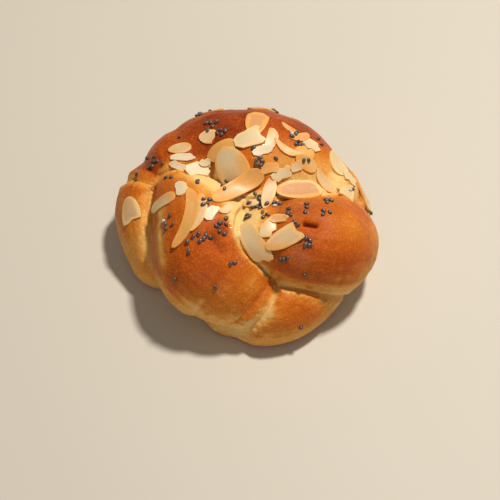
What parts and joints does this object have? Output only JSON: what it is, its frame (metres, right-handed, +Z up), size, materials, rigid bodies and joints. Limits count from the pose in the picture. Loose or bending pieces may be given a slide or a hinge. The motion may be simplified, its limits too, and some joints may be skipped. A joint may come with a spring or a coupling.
{
  "type": "bread roll",
  "caption": "Round knotted brioche roll with a glossy baked crust, strewn with flaked almonds and chia seeds.",
  "frame": {"origin": "middle of the roll's flat base, where it rests", "axes": "+Z up out of the base; front, with the open overlap of the two front ropes, towards -Y; +X to the right when seen from the front"},
  "size_m": [0.104, 0.097, 0.0511],
  "materials": {
    "crust": "glossy egg-washed bread crust, golden to chestnut brown"
  },
  "bodies": {
    "root": {"bread_roll": "crust"}
  },
  "joints": []
}
